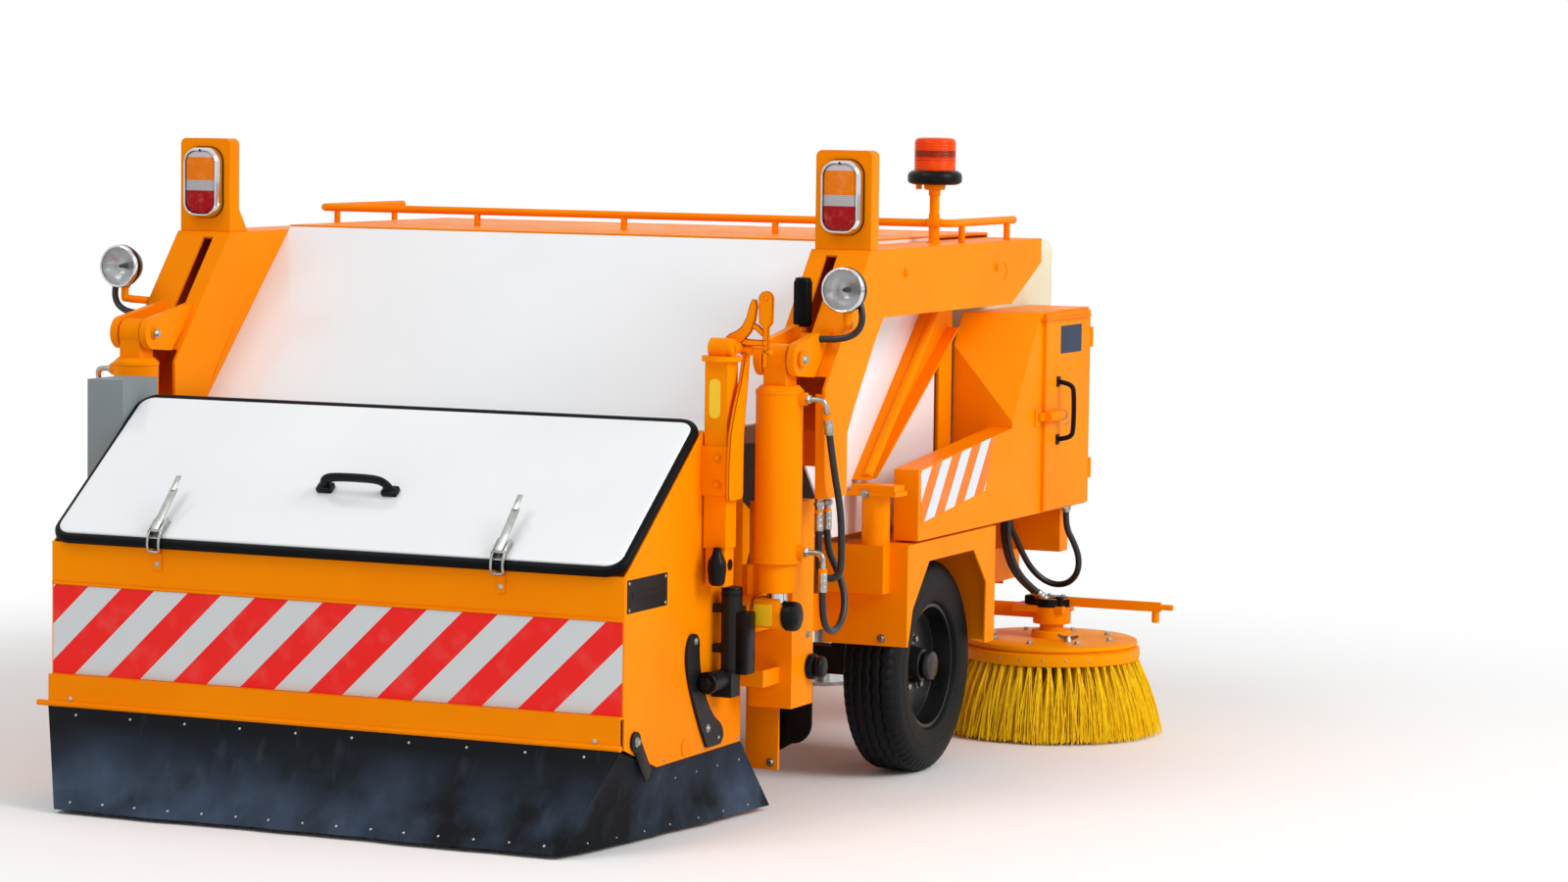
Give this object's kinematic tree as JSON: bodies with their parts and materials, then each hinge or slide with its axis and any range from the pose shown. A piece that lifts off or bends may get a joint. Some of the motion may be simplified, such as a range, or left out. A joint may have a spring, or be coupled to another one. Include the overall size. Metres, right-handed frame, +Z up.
{
  "type": "towed street sweeper",
  "caption": "Towed street sweeper: rear brush hood with rubber skirt and hatch, lifting hopper on side arms, side broom, drawbar with tow eye and parking jack.",
  "frame": {"origin": "centre of the drawbar's tow eye bore", "axes": "+X to the machine's right, +Y forward (towing direction), +Z up"},
  "size_m": [3.002, 4.43, 2.076],
  "materials": {
    "orange_enamel": "gloss enamel over welded sheet",
    "white_shell": "gloss glass-fibre gelcoat",
    "stripe_panel": "orange panel with red and pale grey warning stripes",
    "seal_rubber": "black bulb seal",
    "skirt_rubber": "dusty dark sheet rubber",
    "black_plastic": "moulded black plastic",
    "zinc_steel": "zinc-plated steel",
    "brush_bristle": "coarse polypropylene bristle",
    "frame_paint": "satin black chassis paint",
    "tyre_rubber": "road tyre",
    "rim_paint": "black painted wheel",
    "lamp_lens": "amber, clear and red lamp lens",
    "chrome_trim": "chromed lamp rim",
    "beacon_amber": "amber beacon lens on a black base",
    "rod_chrome": "hard-chromed cylinder stage",
    "tank_plastic": "cream moulded polyethylene",
    "grey_paint": "grey enamel box",
    "hose_rubber": "black hydraulic hose"
  },
  "bodies": {
    "root": {"axle": "frame_paint", "broom_hanger": "orange_enamel", "brush_actuator": "frame_paint", "cabinet_left": "orange_enamel", "cabinet_right": "orange_enamel", "chassis_frame": "orange_enamel", "conveyor": "orange_enamel", "drawbar": "orange_enamel", "fender_left": "orange_enamel", "fender_right": "orange_enamel", "hatch_hinges": "zinc_steel", "hinge_posts": "orange_enamel", "hood_deck": "white_shell", "hose_broom": "hose_rubber", "jack_sleeve": "frame_paint", "lift_columns": "orange_enamel", "rear_panel": "stripe_panel", "rest_posts": "orange_enamel", "safety_prop": "orange_enamel", "side_boxes": "orange_enamel", "side_panels": "orange_enamel", "side_skirts": "skirt_rubber", "skirt_rear": "skirt_rubber", "tank_cradle": "orange_enamel", "tow_eye": "frame_paint", "valve_box": "grey_paint", "water_tank": "tank_plastic"},
    "lift": {"arm_left": "orange_enamel", "arm_right": "orange_enamel", "hopper_shell": "white_shell", "hopper_roof": "orange_enamel", "side_braces": "orange_enamel", "top_rail": "orange_enamel", "lamp_housings": "orange_enamel", "tail_lamps": "lamp_lens", "work_lamps": "chrome_trim", "beacon": "beacon_amber", "hose_lift_left": "hose_rubber", "hose_lift_right": "hose_rubber"},
    "lift_barrel_left": {"lift_barrel_left": "orange_enamel"},
    "lift_barrel_right": {"lift_barrel_right": "orange_enamel"},
    "lift_stage_left": {"lift_stage_left": "rod_chrome"},
    "lift_stage_right": {"lift_stage_right": "rod_chrome"},
    "lift_rod_left": {"lift_rod_left": "orange_enamel"},
    "lift_rod_right": {"lift_rod_right": "orange_enamel"},
    "hatch": {"hatch_lid": "white_shell", "hatch_seal": "seal_rubber", "hatch_handle": "black_plastic", "hatch_latches": "zinc_steel", "hatch_straps": "zinc_steel"},
    "main_brush": {"main_brush": "brush_bristle"},
    "wheel_left": {"tyre_left": "tyre_rubber", "rim_left": "rim_paint"},
    "wheel_right": {"tyre_right": "tyre_rubber", "rim_right": "rim_paint"},
    "broom_arm": {"broom_arm": "orange_enamel"},
    "side_broom": {"side_broom": "brush_bristle"},
    "cabinet_door": {"cabinet_door": "orange_enamel", "door_handle": "black_plastic"},
    "jack_leg": {"jack_leg": "zinc_steel"}
  },
  "joints": [
    {"name": "lift_hinge", "type": "hinge", "parent": "root", "child": "lift", "pos_m": [0, -1.9, 1.11], "axis": [-1, 0, 0], "range_deg": [0, 25]},
    {"name": "cylinder_swing_left", "type": "hinge", "parent": "lift", "child": "lift_barrel_left", "pos_m": [-1.14, -3.474, 0.895], "axis": [-1, 0, 0], "range_deg": [-23, 0], "deforming": ["hose_lift_left"]},
    {"name": "stage_slide_left", "type": "slide", "parent": "lift_barrel_left", "child": "lift_stage_left", "axis": [0, 0, -1], "range_m": [0, 0.345]},
    {"name": "rod_slide_left", "type": "slide", "parent": "lift_stage_left", "child": "lift_rod_left", "axis": [0, 0, -1], "range_m": [0, 0.345]},
    {"name": "cylinder_swing_right", "type": "hinge", "parent": "lift", "child": "lift_barrel_right", "pos_m": [1.14, -3.474, 0.895], "axis": [-1, 0, 0], "range_deg": [-23, 0], "deforming": ["hose_lift_right"]},
    {"name": "stage_slide_right", "type": "slide", "parent": "lift_barrel_right", "child": "lift_stage_right", "axis": [0, 0, -1], "range_m": [0, 0.345]},
    {"name": "rod_slide_right", "type": "slide", "parent": "lift_stage_right", "child": "lift_rod_right", "axis": [0, 0, -1], "range_m": [0, 0.345]},
    {"name": "hatch_hinge", "type": "hinge", "parent": "root", "child": "hatch", "pos_m": [0, -3.66965, 0.69784], "axis": [-1, 0, 0], "range_deg": [0, 65]},
    {"name": "brush_spin", "type": "hinge", "parent": "root", "child": "main_brush", "pos_m": [0, -3.78, -0.261], "axis": [1, 0, 0], "continuous": true},
    {"name": "wheel_spin_left", "type": "hinge", "parent": "root", "child": "wheel_left", "pos_m": [-1.092, -2.315, -0.17], "axis": [1, 0, 0], "continuous": true},
    {"name": "wheel_spin_right", "type": "hinge", "parent": "root", "child": "wheel_right", "pos_m": [1.092, -2.315, -0.17], "axis": [1, 0, 0], "continuous": true},
    {"name": "broom_lift", "type": "hinge", "parent": "root", "child": "broom_arm", "pos_m": [0.8, -1.25, -0.1], "axis": [0, -1, 0], "range_deg": [0, 14], "deforming": ["hose_broom"]},
    {"name": "broom_spin", "type": "hinge", "parent": "broom_arm", "child": "side_broom", "pos_m": [1.2, -1.25, -0.2], "axis": [0, 0, 1], "continuous": true},
    {"name": "door_hinge", "type": "hinge", "parent": "root", "child": "cabinet_door", "pos_m": [1.2593, -1.07, 0.61], "axis": [0, 0, 1], "range_deg": [0, 110]},
    {"name": "jack_slide", "type": "slide", "parent": "root", "child": "jack_leg", "axis": [0, 0, 1], "range_m": [0, 0.3]}
  ],
  "couplings": [
    {"joint": "cylinder_swing_left", "follows": "lift_hinge", "ratio": -0.9115},
    {"joint": "stage_slide_left", "follows": "lift_hinge", "m_per_rad": 0.78656},
    {"joint": "rod_slide_left", "follows": "lift_hinge", "m_per_rad": 0.78656},
    {"joint": "cylinder_swing_right", "follows": "lift_hinge", "ratio": -0.9115},
    {"joint": "stage_slide_right", "follows": "lift_hinge", "m_per_rad": 0.78656},
    {"joint": "rod_slide_right", "follows": "lift_hinge", "m_per_rad": 0.78656}
  ]
}
